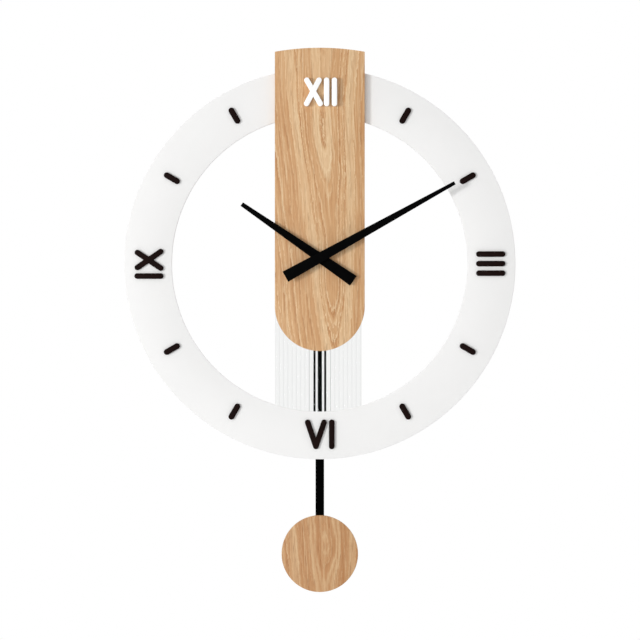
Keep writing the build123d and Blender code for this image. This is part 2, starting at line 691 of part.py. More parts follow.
with BuildPart() as negative_contact:
    with BuildSketch(wall_plane(CONTACT_BACK)):
        with Locations((-CONTACT_X, BATTERY_Z)):
            Rectangle(0.5, 11)
        with Locations((-CONTACT_X + 0.25, BATTERY_Z)):
            Polygon(
                (0, 5), (1.1, 0.8), (1.1, -0.8), (0, -5), (0, -4), (0.7, -0.6), (0.7, 0.6), (0, 4),
                align=None,
            )
    extrude(amount=CONTACT_DEPTH)
negative_contact.part.label = "negative_contact"
export_step(negative_contact.part, "parts/negative_contact.step")

# --- Movement case -------------------------------------------------------------------------------

with BuildPart() as front_housing:
    with BuildSketch(wall_plane(CASE_BACK)):
        with Locations(CASE_CENTRE):
            RectangleRounded(CASE_WIDTH, CASE_HEIGHT, CASE_CORNER)
    extrude(amount=CASE_FRONT - CASE_BACK)
    fillet(front_housing.edges().group_by(Axis.Y)[0], radius=1.0)
    with BuildSketch(wall_plane(CASE_BACK)):
        with Locations(CASE_CENTRE):
            RectangleRounded(CASE_WIDTH - 2 * WALL, CASE_HEIGHT - 2 * WALL, CASE_CORNER - WALL)
    extrude(amount=CASE_INNER_FRONT - CASE_BACK, mode=Mode.SUBTRACT)
    # Walls above and below the gear train, and the battery bay's floor
    with BuildSketch(wall_plane(CASE_BACK)):
        with Locations(by_axis(0, 18.9), by_axis(0, -27.3)):
            Rectangle(CASE_WIDTH - WALL, 1.4)
    extrude(amount=CASE_INNER_FRONT - CASE_BACK)
    with BuildSketch(wall_plane(BAY_FLOOR)):
        with Locations(by_axis(0, 27.0)):
            Rectangle(CASE_WIDTH - WALL, 16.5)
    extrude(amount=1.2)
    # Posts for the cover screws, the middle plate and the pendulum board
    with BuildSketch(wall_plane(CASE_BACK)):
        with Locations(*SCREW_PLACES):
            Circle(2.6)
    extrude(amount=CASE_INNER_FRONT - CASE_BACK)
    with BuildSketch(wall_plane(CASE_BACK)):
        with Locations(*SCREW_PLACES):
            Circle(1.0)
    extrude(amount=8.0, mode=Mode.SUBTRACT)
    with BuildSketch(wall_plane(PLATE_FRONT)):
        with Locations(*PLATE_POSTS):
            Circle(2.0)
    extrude(amount=CASE_INNER_FRONT - PLATE_FRONT)
    with BuildSketch(wall_plane(18.2)):
        with Locations(*BOARD_POSTS):
            Circle(2.0)
    extrude(amount=CASE_INNER_FRONT - 18.2)
    # Front socket of the pendulum's pivot pin
    with BuildSketch(wall_plane(12.0)):
        with Locations((0, PIVOT_Z)):
            Circle(2.4)
    extrude(amount=CASE_INNER_FRONT - 12.0)
    with BuildSketch(wall_plane(12.0)):
        with Locations((0, PIVOT_Z)):
            Circle(REAR_ARBOR_RADIUS)
    extrude(amount=8.0, mode=Mode.SUBTRACT)
    # Hole for the mounting bush, and the slot that the pendulum's lever swings in
    with BuildSketch(wall_plane(CASE_INNER_FRONT)):
        with Locations(HAND_AXIS):
            Circle(BUSH_HOLE_RADIUS)
    extrude(amount=WALL, mode=Mode.SUBTRACT)
    with BuildSketch(Plane.XY.offset(CASE_BOTTOM)):
        with Locations((0, -LEVER_BACK)):
            SlotOverall(17, 7)
    extrude(amount=WALL, mode=Mode.SUBTRACT)
front_housing.part.label = "front_housing"
export_step(front_housing.part, "parts/front_housing.step")

with BuildPart() as back_cover:
    with BuildSketch(wall_plane(COVER_BACK)):
        with Locations(CASE_CENTRE):
            RectangleRounded(CASE_WIDTH, CASE_HEIGHT, CASE_CORNER)
        with Locations((0, BATTERY_Z)):
            Rectangle(52, 14.8, mode=Mode.SUBTRACT)
        with Locations(*SCREW_PLACES):
            Circle(1.2, mode=Mode.SUBTRACT)
    extrude(amount=WALL)
    # Well around the setting knob
    with BuildSketch(wall_plane(CASE_BACK)):
        with Locations(KNOB_AXIS):
            Circle(KNOB_WELL_RADIUS + 1.0)
    extrude(amount=KNOB_WELL_FLOOR + 1.0 - CASE_BACK)
    with BuildSketch(wall_plane(COVER_BACK)):
        with Locations(KNOB_AXIS):
            Circle(KNOB_WELL_RADIUS)
    extrude(amount=KNOB_WELL_FLOOR - COVER_BACK, mode=Mode.SUBTRACT)
    with BuildSketch(wall_plane(KNOB_WELL_FLOOR)):
        with Locations(KNOB_AXIS):
            Circle(KNOB_SHAFT_RADIUS + RUNNING_GAP)
    extrude(amount=1.0, mode=Mode.SUBTRACT)
    # Bearings for the train, the minute arbor and the pendulum's pivot pin
    with BuildSketch(wall_plane(CASE_BACK)):
        with Locations(*TRAIN_AXES, HAND_AXIS, (0, PIVOT_Z)):
            Circle(1.3)
    extrude(amount=BOSS_FRONT - CASE_BACK)
    with BuildSketch(wall_plane(CASE_BACK)):
        with Locations(*BOARD_SUPPORTS):
            Circle(1.3)
    extrude(amount=BOARD_BACK - CASE_BACK)
    with BuildSketch(wall_plane(CASE_BACK + 1.0)):
        with Locations(*TRAIN_AXES):
            Circle(TRAIN_ARBOR_RADIUS + RUNNING_GAP)
        with Locations(HAND_AXIS):
            Circle(REAR_ARBOR_RADIUS + RUNNING_GAP)
        with Locations((0, PIVOT_Z)):
            Circle(REAR_ARBOR_RADIUS)
    extrude(amount=BOSS_FRONT - CASE_BACK, mode=Mode.SUBTRACT)
back_cover.part.label = "back_cover"
export_step(back_cover.part, "parts/back_cover.step")

with BuildPart() as middle_plate:
    with BuildSketch(wall_plane(PLATE_BACK)):
        with Locations(by_axis(0, -4.2)):
            Rectangle(52, 44)
        with Locations(*SCREW_PLACES):
            Circle(3.0, mode=Mode.SUBTRACT)
        with Locations(*TRAIN_AXES):
            Circle(TRAIN_ARBOR_RADIUS + RUNNING_GAP, mode=Mode.SUBTRACT)
        with Locations(HAND_AXIS):
            Circle(REAR_ARBOR_RADIUS + RUNNING_GAP, mode=Mode.SUBTRACT)
        with Locations(KNOB_AXIS):
            Circle(KNOB_SHAFT_RADIUS + RUNNING_GAP, mode=Mode.SUBTRACT)
    extrude(amount=PLATE_FRONT - PLATE_BACK)
    # Feet that carry the stator
    with BuildSketch(wall_plane(STATOR_BACK + STATOR_THICKNESS)):
        with Locations((-14.3, ROTOR_AXIS[1]), (14.3, ROTOR_AXIS[1])):
            Circle(1.3)
    extrude(amount=PLATE_BACK - STATOR_BACK - STATOR_THICKNESS)
middle_plate.part.label = "middle_plate"
export_step(middle_plate.part, "parts/middle_plate.step")

BUSH_FRONT = PANEL_FRONT - 0.2
with BuildPart() as mounting_bush:
    with BuildSketch(wall_plane(CASE_INNER_FRONT - 0.8)):
        with Locations(HAND_AXIS):
            Circle(5.5)
    extrude(amount=0.8)
    with BuildSketch(wall_plane(CASE_INNER_FRONT)):
        with Locations(HAND_AXIS):
            Circle(BUSH_RADIUS)
    extrude(amount=BUSH_FRONT - CASE_INNER_FRONT)
    with BuildSketch(wall_plane(CASE_INNER_FRONT - 0.8)):
        with Locations(HAND_AXIS):
            Circle(HOUR_PIPE_RADIUS + RUNNING_GAP)
    extrude(amount=BUSH_FRONT - CASE_INNER_FRONT + 0.8, mode=Mode.SUBTRACT)
mounting_bush.part.label = "mounting_bush"
export_step(mounting_bush.part, "parts/mounting_bush.step")

WASHER_BACK = PANEL_BACK + 3.5
WASHER_THICKNESS = 0.6
with BuildPart() as nut_washer:
    with BuildSketch(wall_plane(WASHER_BACK)):
        with Locations(HAND_AXIS):
            Circle(4.9)
            Circle(BUSH_HOLE_RADIUS, mode=Mode.SUBTRACT)
    extrude(amount=WASHER_THICKNESS)
nut_washer.part.label = "nut_washer"
export_step(nut_washer.part, "parts/nut_washer.step")

with BuildPart() as round_nut:
    with BuildSketch(wall_plane(WASHER_BACK + WASHER_THICKNESS)):
        with Locations(HAND_AXIS):
            Circle(5.0)
            Circle(BUSH_RADIUS + 0.02, mode=Mode.SUBTRACT)
    extrude(amount=PANEL_FRONT - 0.2 - WASHER_BACK - WASHER_THICKNESS)
    with BuildSketch(wall_plane(PANEL_FRONT - 1.2)):
        with Locations(HAND_AXIS):
            Rectangle(12, 1.2)
    extrude(amount=1.2, mode=Mode.SUBTRACT)
round_nut.part.label = "round_nut"
export_step(round_nut.part, "parts/round_nut.step")

with BuildPart() as rubber_gasket:
    with BuildSketch(wall_plane(BRACKET_FRONT)):
        with Locations(HAND_AXIS):
            Circle(9.0)
            Circle(BUSH_HOLE_RADIUS, mode=Mode.SUBTRACT)
    extrude(amount=STRIP_BACK - BRACKET_FRONT)
rubber_gasket.part.label = "rubber_gasket"
export_step(rubber_gasket.part, "parts/rubber_gasket.step")

# The bracket is clamped behind the strip, crosses the top of the case and rises to the nail.
shelf_z = CASE_TOP + 0.3
bracket_top = HANGING_HOLE_RADIUS + 5.5
with BuildPart() as hanger_bracket:
    with BuildSketch(Plane.YZ.offset(-12)):
        Polygon(
            (-BRACKET_FRONT, AXIS_Z - 12),
            (-BRACKET_FRONT, shelf_z + BRACKET_THICKNESS),
            (-BRACKET_THICKNESS, shelf_z + BRACKET_THICKNESS),
            (-BRACKET_THICKNESS, bracket_top),
            (0, bracket_top),
            (0, shelf_z),
            (-CASE_FRONT, shelf_z),
            (-CASE_FRONT, AXIS_Z - 12),
            align=None,
        )
    extrude(amount=24)
    fillet(hanger_bracket.edges().filter_by(Axis.Y).filter_by_position(Axis.Z, 5, 20), radius=6)
    with BuildSketch(wall_plane(CASE_FRONT)):
        with Locations(HAND_AXIS):
            Circle(BUSH_HOLE_RADIUS)
    extrude(amount=BRACKET_THICKNESS, mode=Mode.SUBTRACT)
    with BuildSketch(wall_plane(0)):
        Circle(HANGING_HOLE_RADIUS)
    extrude(amount=BRACKET_THICKNESS, mode=Mode.SUBTRACT)
hanger_bracket.part.label = "hanger_bracket"
export_step(hanger_bracket.part, "parts/hanger_bracket.step")

with BuildPart() as wall_pads:
    with BuildSketch(wall_plane(0)):
        with Locations(*PAD_PLACES):
            Circle(4.0)
    extrude(amount=PAD_THICKNESS)
wall_pads.part.label = "wall_pads"
export_step(wall_pads.part, "parts/wall_pads.step")

# --- Screws --------------------------------------------------------------------------------------

cover_screws = screws(SCREW_PLACES, 0.2, 2.0, 0.8, 1.0, 8.0)
cover_screws.part.label = "cover_screws"
export_step(cover_screws.part, "parts/cover_screws.step")

panel_screws = screws(PANEL_SCREW_PLACES, STRIP_BACK - 1.3, 3.0, 1.3, 1.5, 11.0)
panel_screws.part.label = "panel_screws"
export_step(panel_screws.part, "parts/panel_screws.step")

ring_screws = screws(RING_SCREW_PLACES, STRIP_BACK - 1.3, 3.0, 1.3, 1.5, STRIP_THICKNESS + 2.8)
ring_screws.part.label = "ring_screws"
export_step(ring_screws.part, "parts/ring_screws.step")

# --- Pendulum and its drive ----------------------------------------------------------------------

LEVER_THICKNESS = 1.6
LEVER_FRONT = LEVER_BACK + LEVER_THICKNESS
HUB_BACK = 7.4
HUB_FRONT = 11.4
with BuildPart() as swing_lever:
    with BuildSketch(wall_plane(LEVER_BACK)):
        draw_stroke((0, PIVOT_Z), (0, HOOK_Z), 5.0)
        with Locations((0, MAGNET_Z)):
            Circle(6.0)
    extrude(amount=LEVER_THICKNESS)
    with BuildSketch(wall_plane(HUB_BACK)):
        with Locations((0, PIVOT_Z)):
            Circle(2.8)
    extrude(amount=HUB_FRONT - HUB_BACK)
    with BuildSketch(wall_plane(HUB_BACK)):
        with Locations((0, PIVOT_Z)):
            Circle(REAR_ARBOR_RADIUS + RUNNING_GAP)
    extrude(amount=HUB_FRONT - HUB_BACK, mode=Mode.SUBTRACT)
    # Hook: a peg towards the wall with a raised lip at its end
    with BuildSketch(wall_plane(ROD_BACK - 1.6)):
        with Locations((0, HOOK_Z)):
            Circle(1.5)
    extrude(amount=LEVER_BACK - ROD_BACK + 1.6)
    with BuildSketch(wall_plane(ROD_BACK - 1.6)):
        draw_stroke((0, HOOK_Z), (0, HOOK_Z + 1.4), 3.0)
    extrude(amount=1.2)
swing_lever.part.label = "swing_lever"
export_step(swing_lever.part, "parts/swing_lever.step")

with BuildPart() as lever_magnet:
    with BuildSketch(wall_plane(LEVER_FRONT)):
        with Locations((0, MAGNET_Z)):
            Circle(4.5)
    extrude(amount=2.4)
lever_magnet.part.label = "lever_magnet"
export_step(lever_magnet.part, "parts/lever_magnet.step")

with BuildPart() as pivot_pin:
    with BuildSketch(wall_plane(CASE_BACK + 1.0)):
        with Locations((0, PIVOT_Z)):
            Circle(REAR_ARBOR_RADIUS)
    extrude(amount=20.0 - CASE_BACK - 1.0)
pivot_pin.part.label = "pivot_pin"
export_step(pivot_pin.part, "parts/pivot_pin.step")

PENDULUM_BOARD_BACK = 17.0
with BuildPart() as pendulum_coil:
    with BuildSketch(wall_plane(PENDULUM_BOARD_BACK - 3.6)):
        with Locations((0, MAGNET_Z)):
            Circle(7.0)
            Circle(2.5, mode=Mode.SUBTRACT)
    extrude(amount=3.6)
pendulum_coil.part.label = "pendulum_coil"
export_step(pendulum_coil.part, "parts/pendulum_coil.step")

with BuildPart() as pendulum_board:
    with BuildSketch(wall_plane(PENDULUM_BOARD_BACK)):
        with Locations((0, MAGNET_Z)):
            RectangleRounded(42, 20, 1)
    extrude(amount=18.2 - PENDULUM_BOARD_BACK)
pendulum_board.part.label = "pendulum_board"
export_step(pendulum_board.part, "parts/pendulum_board.step")

ROD_END_RADIUS = ROD_WIDTH / 2
BOB_SCREW_PLACES = [(0, BOB_Z - 12), (0, BOB_Z + 12)]
with BuildPart() as pendulum_rod:
    with BuildSketch(wall_plane(ROD_BACK)):
        draw_stroke((0, HOOK_Z - 0.6), (0, BOB_Z - 16), ROD_WIDTH)
        with Locations((0, HOOK_Z)):
            Circle(1.7, mode=Mode.SUBTRACT)
        with Locations(*BOB_SCREW_PLACES):
            Circle(1.3, mode=Mode.SUBTRACT)
    extrude(amount=ROD_THICKNESS)
pendulum_rod.part.label = "pendulum_rod"
export_step(pendulum_rod.part, "parts/pendulum_rod.step")

BOB_BACK = ROD_BACK + ROD_THICKNESS
with BuildPart() as pendulum_bob:
    with BuildSketch(wall_plane(BOB_BACK)):
        with Locations((0, BOB_Z)):
            Circle(BOB_RADIUS)
    extrude(amount=BOB_THICKNESS)
    chamfer(pendulum_bob.edges().filter_by(GeomType.CIRCLE), length=0.3)
    with BuildSketch(wall_plane(BOB_BACK)):
        with Locations(*BOB_SCREW_PLACES):
            Circle(1.2)
    extrude(amount=5.0, mode=Mode.SUBTRACT)
pendulum_bob.part.label = "pendulum_bob"
export_step(pendulum_bob.part, "parts/pendulum_bob.step")

bob_screws = screws(BOB_SCREW_PLACES, ROD_BACK - 1.0, 2.4, 1.0, 1.2, ROD_THICKNESS + 5.0)
bob_screws.part.label = "bob_screws"
export_step(bob_screws.part, "parts/bob_screws.step")
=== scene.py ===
import json
import math

import bmesh
import bpy
from mathutils import Matrix, Vector


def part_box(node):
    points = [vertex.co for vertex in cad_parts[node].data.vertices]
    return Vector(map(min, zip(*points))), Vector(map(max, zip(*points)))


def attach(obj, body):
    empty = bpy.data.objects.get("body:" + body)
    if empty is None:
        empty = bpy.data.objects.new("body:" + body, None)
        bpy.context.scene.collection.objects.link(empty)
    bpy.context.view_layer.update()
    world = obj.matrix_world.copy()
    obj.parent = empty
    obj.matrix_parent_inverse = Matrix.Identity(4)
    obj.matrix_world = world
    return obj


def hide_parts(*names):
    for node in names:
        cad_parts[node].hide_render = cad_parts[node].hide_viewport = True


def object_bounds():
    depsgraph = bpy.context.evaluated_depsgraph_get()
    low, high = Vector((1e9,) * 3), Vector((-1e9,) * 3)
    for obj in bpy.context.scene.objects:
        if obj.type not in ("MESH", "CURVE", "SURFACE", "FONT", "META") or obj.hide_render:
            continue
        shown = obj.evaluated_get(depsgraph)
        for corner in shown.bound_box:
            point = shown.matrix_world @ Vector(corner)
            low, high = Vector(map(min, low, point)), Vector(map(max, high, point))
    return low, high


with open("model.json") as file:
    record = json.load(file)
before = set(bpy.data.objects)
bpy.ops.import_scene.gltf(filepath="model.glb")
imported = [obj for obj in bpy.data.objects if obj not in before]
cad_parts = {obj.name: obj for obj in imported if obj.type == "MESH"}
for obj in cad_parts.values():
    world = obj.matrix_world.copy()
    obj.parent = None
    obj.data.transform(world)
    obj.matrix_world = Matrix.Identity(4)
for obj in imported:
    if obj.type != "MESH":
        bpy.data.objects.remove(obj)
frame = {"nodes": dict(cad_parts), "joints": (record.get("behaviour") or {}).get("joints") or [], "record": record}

# Pendulum wall clock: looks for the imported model. Units are metres, in the CAD frame: +Z up, the
# front faces -Y, and Y is 0 on the wall. A depth is a distance in front of the wall, so Y = -depth.

CAD_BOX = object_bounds()

# --- Places read from the frame ------------------------------------------------------------------


def depths(node):
    """(back, front) of a CAD node, as distances in front of the wall."""
    low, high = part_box(node)
    return -high.y, -low.y


def middle(node):
    """Centre of a CAD node's box."""
    low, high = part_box(node)
    return (low + high) / 2


def joint_place(name):
    """Where a joint's axis crosses the wall, as (X, Z)."""
    joint = next(j for j in frame["joints"] if j["name"] == name)
    return joint["pos_m"][0], joint["pos_m"][2]


PANEL_LOW, PANEL_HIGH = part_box("oak_panel")
STRIP_LOW, STRIP_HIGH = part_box("fluted_strip")
HAND_AXIS = joint_place("minute_hand_turn")
BOB_MIDDLE = middle("pendulum_bob")

# --- Sizes that part.py gives the same shapes ----------------------------------------------------

HANDS_ABOVE_CENTRE = 0.0058
DIAL_Z = HAND_AXIS[1] - HANDS_ABOVE_CENTRE
RING_OUTER = 0.2
RING_INNER = 0.1513
PANEL_TOP_RADIUS = 0.2606
FLUTE_PITCH = 0.00437
FLUTE_RADIUS = 0.0036
FLUTE_COUNT = 20
BUSH_HOLE_RADIUS = 0.0036
NUT_RECESS_RADIUS = 0.0051
NUT_RECESS_FLOOR = 0.0035  # in front of the panel's back
SCREW_HOLE_RADIUS = 0.0017
PANEL_SCREW_OFFSETS = ((0.025, 0.175), (0.022, 0.080), (0.020, -0.050))
RING_SCREW_OFFSET = (0.025, -0.172)
BAR_WIDTH = 0.006
BAR_ENDS = (168.6, 180.6)  # millimetres from the ring's centre to the bar's round ends
HOUR_PIPE_RADIUS = 0.00245
HOOK_HOLE_RADIUS = 0.0017
HOOK_HOLE_RISE = 0.0006  # above the centre of the rod's round top

# --- Finish of the meshes, which only the looks need ---------------------------------------------

RING_EDGE = 0.0005
PANEL_EDGE = 0.0003
BOB_EDGE = 0.0004
MARKER_EDGE = 0.00025
HAND_EDGE = 0.00012
ROD_EDGE = 0.00015
EDGE_STEPS = 4  # steps around the rounded edge of a turned piece
BEVEL_RESOLUTION = 3  # the same for a flat board
STROKE_END_STEPS = 24
FLUTE_STEPS = 28
OVERCUT = 0.001  # how far a cutter reaches past a surface


# --- Shader graphs -------------------------------------------------------------------------------


class Graph:
    """Short calls for the nodes of one procedural material, ending in a Principled shader."""

    def __init__(self, name, **shader):
        self.material = bpy.data.materials.new(name)
        self.material.use_nodes = True
        self.tree = self.material.node_tree
        self.shader = next(n for n in self.tree.nodes if n.type == "BSDF_PRINCIPLED")
        self.place = self.node("ShaderNodeTexCoord").outputs["Object"]
        for socket, value in shader.items():
            self.shader.inputs[socket.replace("_", " ")].default_value = value

    def node(self, kind, **settings):
        made = self.tree.nodes.new(kind)
        for key, value in settings.items():
            setattr(made, key, value)
        return made

    def put(self, socket, value):
        """Link a socket's output, or set a plain value."""
        if isinstance(value, bpy.types.NodeSocket):
            self.tree.links.new(value, socket)
        else:
            socket.default_value = value

    def math(self, operation, a, b=0.0, c=0.0):
        made = self.node("ShaderNodeMath", operation=operation)
        for socket, value in zip(made.inputs, (a, b, c)):
            self.put(socket, value)
        return made.outputs[0]

    def stretch(self, scale, offset=(0, 0, 0), vector=None):
        made = self.node("ShaderNodeMapping")
        self.put(made.inputs["Vector"], vector or self.place)
        made.inputs["Scale"].default_value = scale
        made.inputs["Location"].default_value = offset
        return made.outputs[0]

    def combine(self, x, y, z):
        made = self.node("ShaderNodeCombineXYZ")
        for socket, value in zip(made.inputs, (x, y, z)):
            self.put(socket, value)
        return made.outputs[0]

    def noise(self, vector, detail=2.0, roughness=0.5):
        made = self.node("ShaderNodeTexNoise")
        self.put(made.inputs["Vector"], vector)
        made.inputs["Scale"].default_value = 1.0
        made.inputs["Detail"].default_value = detail
        made.inputs["Roughness"].default_value = roughness
        return made.outputs["Fac"]

    def ramp(self, value, stops):
        """Colours or greys at positions along a value from 0 to 1."""
        made = self.node("ShaderNodeValToRGB")
        self.put(made.inputs["Fac"], value)
        elements = made.color_ramp.elements
        while len(elements) < len(stops):
            elements.new(0.5)
        for element, (position, colour) in zip(elements, stops):
            grey = isinstance(colour, (int, float))
            element.position = position
            element.color = (colour, colour, colour, 1) if grey else (*colour, 1)
        return made.outputs["Color"]

    def mix(self, share, a, b):
        """Colour a where share is 0 and colour b where it is 1."""
        made = self.node("ShaderNodeMix", data_type="RGBA")
        for index, value in ((0, share), (6, a), (7, b)):
            if isinstance(value, tuple):
                value = (*value, 1)
            self.put(made.inputs[index], value)
        return made.outputs[2]

    def colour(self, value):
        self.put(self.shader.inputs["Base Color"], value)

    def roughness(self, value, low, high):
        """Roughness between two limits, following a value from 0 to 1."""
        made = self.node("ShaderNodeMapRange")
        self.put(made.inputs["Value"], value)
        made.inputs["To Min"].default_value = low
        made.inputs["To Max"].default_value = high
        self.put(self.shader.inputs["Roughness"], made.outputs[0])

    def bump(self, height, depth):
        """Raise the surface by up to depth metres where height is 1."""
        made = self.node("ShaderNodeBump")
        self.put(made.inputs["Height"], height)
        made.inputs["Distance"].default_value = depth
        self.put(self.shader.inputs["Normal"], made.outputs[0])


# --- Materials -----------------------------------------------------------------------------------


# Oak figure: lengths in metres, lean and climb as slopes, unevenness in rings
GRAIN_LEAN = 0.05
GRAIN_WANDER = 0.012
RING_APEX = 0.004
RING_CLIMB = 0.08
RING_SPACING = 0.008
RING_WARP = 0.009
RING_FEATHER = 0.0045
RING_JAGS = 0.0028
RING_UNEVENNESS = 2.2
PALE_OAK = (0.83, 0.62, 0.375)
MID_OAK = (0.675, 0.405, 0.200)
DEEP_OAK = (0.475, 0.215, 0.075)


def oak(name, heart, offset, knots, tint=(1, 1, 1)):
    """Flat-cut oak, grain along Z: pointed growth rings, feathered by fibres, and open pores.

    A knot is a place (X, Z), a size and a lift that bends the rings into an eye around it."""
    g = Graph(name, Specular_IOR_Level=0.35)
    shades = (PALE_OAK, MID_OAK, DEEP_OAK)
    pale, mid, deep = [tuple(c * t for c, t in zip(shade, tint)) for shade in shades]
    axes = g.node("ShaderNodeSeparateXYZ")
    g.put(axes.inputs[0], g.place)
    wander = g.noise(g.stretch((0, 0, 8), offset), detail=1)
    across = g.math("MULTIPLY_ADD", axes.outputs["Z"], GRAIN_LEAN, axes.outputs["X"])
    leaning = g.math("MULTIPLY_ADD", wander, GRAIN_WANDER, across)
    off_heart = g.math("MULTIPLY_ADD", wander, GRAIN_WANDER, heart - GRAIN_WANDER / 2)
    across = g.math("ADD", across, off_heart)
    radius = g.math("SQRT", g.math("MULTIPLY_ADD", across, across, RING_APEX**2))
    warp = g.noise(g.stretch((30, 30, 5), offset), detail=2)
    feather = g.noise(g.stretch((620, 620, 70), offset), detail=3, roughness=0.7)
    shifted = g.math("MULTIPLY_ADD", warp, RING_WARP, radius)
    shifted = g.math("MULTIPLY_ADD", feather, RING_FEATHER, shifted)
    jagged = g.noise(g.stretch((1500, 1500, 240), offset), detail=2, roughness=0.6)
    shifted = g.math("MULTIPLY_ADD", jagged, RING_JAGS, shifted)
    shifted = g.math("MULTIPLY_ADD", axes.outputs["Z"], -RING_CLIMB, shifted)
    for (x, z), (width, height), lift in knots:
        beside = g.math("MULTIPLY_ADD", axes.outputs["X"], 1 / width, -x / width)
        along = g.math("MULTIPLY_ADD", axes.outputs["Z"], 1 / height, -z / height)
        away = g.math("MULTIPLY_ADD", along, along, g.math("MULTIPLY", beside, beside))
        swell = g.math("EXPONENT", g.math("MULTIPLY", away, -1))
        shifted = g.math("MULTIPLY_ADD", swell, lift, shifted)
    count = g.math("MULTIPLY", shifted, 1 / RING_SPACING)
    uneven = g.noise(g.stretch((0.55, 0, 0), offset, g.combine(count, 0, 0)), detail=1)
    count = g.math("MULTIPLY_ADD", uneven, RING_UNEVENNESS, count)
    rings = g.math("FRACT", count)
    tan = tuple((m + d) / 2 for m, d in zip(mid, deep))
    wood = g.ramp(
        rings,
        [
            (0.0, pale), (0.09, pale), (0.13, deep), (0.32, tan), (0.50, mid),
            (0.60, pale), (0.66, tan), (0.82, mid), (0.92, tan), (1.0, pale),
        ],
    )
    band = g.noise(g.stretch((1.1, 0, 0), offset, g.combine(count, 0, 0)), detail=0)
    wood = g.mix(g.ramp(band, [(0.36, 0.6), (0.47, 0.0)]), wood, tan)
    wood = g.mix(g.ramp(band, [(0.52, 0.0), (0.63, 0.65)]), wood, pale)
    drifted = g.combine(leaning, axes.outputs["Y"], axes.outputs["Z"])
    plain = g.noise(g.stretch((30, 30, 10), offset), detail=2)
    wood = g.mix(g.ramp(plain, [(0.35, 0.4), (0.65, 0.0)]), wood, mid)
    streak = g.noise(g.stretch((680, 680, 16), offset, drifted), detail=3, roughness=0.6)
    wood = g.mix(g.ramp(streak, [(0.53, 0.0), (0.66, 0.6)]), wood, pale)
    wood = g.mix(g.ramp(streak, [(0.34, 0.45), (0.45, 0.0)]), wood, deep)
    fibre = g.noise(g.stretch((2300, 2300, 55), offset), detail=3, roughness=0.65)
    wood = g.mix(g.ramp(fibre, [(0.35, 0.30), (0.62, 0.0)]), wood, deep)
    pores = g.noise(g.stretch((1500, 1500, 90), offset), detail=1)
    early = g.ramp(rings, [(0.0, 0.4), (0.2, 1.0), (0.5, 0.15), (1.0, 0.4)])
    open_pores = g.math("MULTIPLY", g.ramp(pores, [(0.56, 0.0), (0.66, 1.0)]), early)
    dark = tuple(0.65 * c for c in deep)
    wood = g.mix(g.math("MULTIPLY", open_pores, 0.45), wood, dark)
    g.colour(wood)
    g.roughness(fibre, 0.42, 0.60)
    g.bump(g.math("SUBTRACT", fibre, open_pores), 0.00006)
    return g.material


def speckled(
    name, base, spread=0.06, grain=2600, soft=90, rough=(0.4, 0.55), relief=0.00001, **shader
):
    """A moulded, cast or painted surface: one colour with slow drift, fine grain and slight relief."""
    g = Graph(name, **shader)
    fine = g.noise(g.stretch((grain,) * 3), detail=3, roughness=0.6)
    slow = g.noise(g.stretch((soft,) * 3), detail=2)
    dark = tuple(c * (1 - spread) for c in base)
    light = tuple(min(1.0, c * (1 + spread)) for c in base)
    tint = g.ramp(slow, [(0.3, dark), (0.7, light)])
    g.colour(g.mix(g.ramp(fine, [(0.35, 0.25), (0.65, 0.0)]), tint, dark))
    g.roughness(fine, *rough)
    g.bump(fine, relief)
    return g.material


BRUSH_RELIEF = 0.000006


def brushed(name, base, direction, rough, metallic=1.0, **shader):
    """Fine lines along one direction, given as scales per metre along X, Y and Z."""
    g = Graph(name, Metallic=metallic, **shader)
    lines = g.noise(g.stretch(direction), detail=4, roughness=0.65)
    dark = tuple(0.75 * c for c in base)
    g.colour(g.ramp(lines, [(0.3, dark), (0.7, base)]))
    g.roughness(lines, *rough)
    g.bump(lines, BRUSH_RELIEF)
    return g.material


def clear_acrylic():
    """Clear strip, tinted grey and darker still in the valleys between its flutes: painted shade in place of the
    stripes that refraction and reflection make. Lamp light passes through.
    """
    g = Graph(
        "clear_acrylic", Roughness=0.0, Transmission_Weight=1.0, IOR=1.49,
        Specular_Tint=(0.05, 0.05, 0.05, 1),
    )
    axes = g.node("ShaderNodeSeparateXYZ")
    g.put(axes.inputs[0], g.place)
    flutes = g.math(
        "MULTIPLY_ADD", axes.outputs["X"], 1 / FLUTE_PITCH, -STRIP_LOW.x / FLUTE_PITCH
    )
    off_crest = g.math("PINGPONG", g.math("ADD", flutes, 0.5), 0.5)
    # Grey base colours, darkest in the valleys: painted shade for the strip's refraction and reflection stripes.
    crest, flank, valley = (0.89, 0.895, 0.89), (0.88, 0.885, 0.88), (0.78, 0.785, 0.78)
    g.colour(g.ramp(off_crest, [(0.0, crest), (0.38, flank), (0.5, valley)]))
    lamp_ray = g.node("ShaderNodeLightPath").outputs["Is Shadow Ray"]
    clear = g.node("ShaderNodeBsdfTransparent")
    clear.inputs["Color"].default_value = (0.93, 0.93, 0.93, 1)
    both = g.node("ShaderNodeMixShader")
    g.put(both.inputs[0], lamp_ray)
    g.tree.links.new(g.shader.outputs[0], both.inputs[1])
    g.tree.links.new(clear.outputs[0], both.inputs[2])
    output = next(n for n in g.tree.nodes if n.type == "OUTPUT_MATERIAL")
    g.tree.links.new(both.outputs[0], output.inputs["Surface"])
    return g.material


WIRE_PITCH = 0.00018


def copper_winding(name):
    """Enamelled wire laid side by side, its turns stepping along X, darkened where the turns meet as painted
    shade.
    """
    g = Graph(name, Metallic=0.8, Coat_Weight=0.5)
    axes = g.node("ShaderNodeSeparateXYZ")
    g.put(axes.inputs[0], g.place)
    turns = g.math("FRACT", g.math("MULTIPLY", axes.outputs["X"], 1 / WIRE_PITCH))
    crown = g.math("PINGPONG", turns, 0.5)
    # Dark where neighbouring turns meet: painted shade in the grooves between the wires.
    g.colour(g.ramp(crown, [(0.0, (0.20, 0.07, 0.03)), (0.5, (0.80, 0.36, 0.18))]))
    g.roughness(g.noise(g.stretch((800,) * 3)), 0.25, 0.4)
    g.bump(crown, 0.00004)
    return g.material


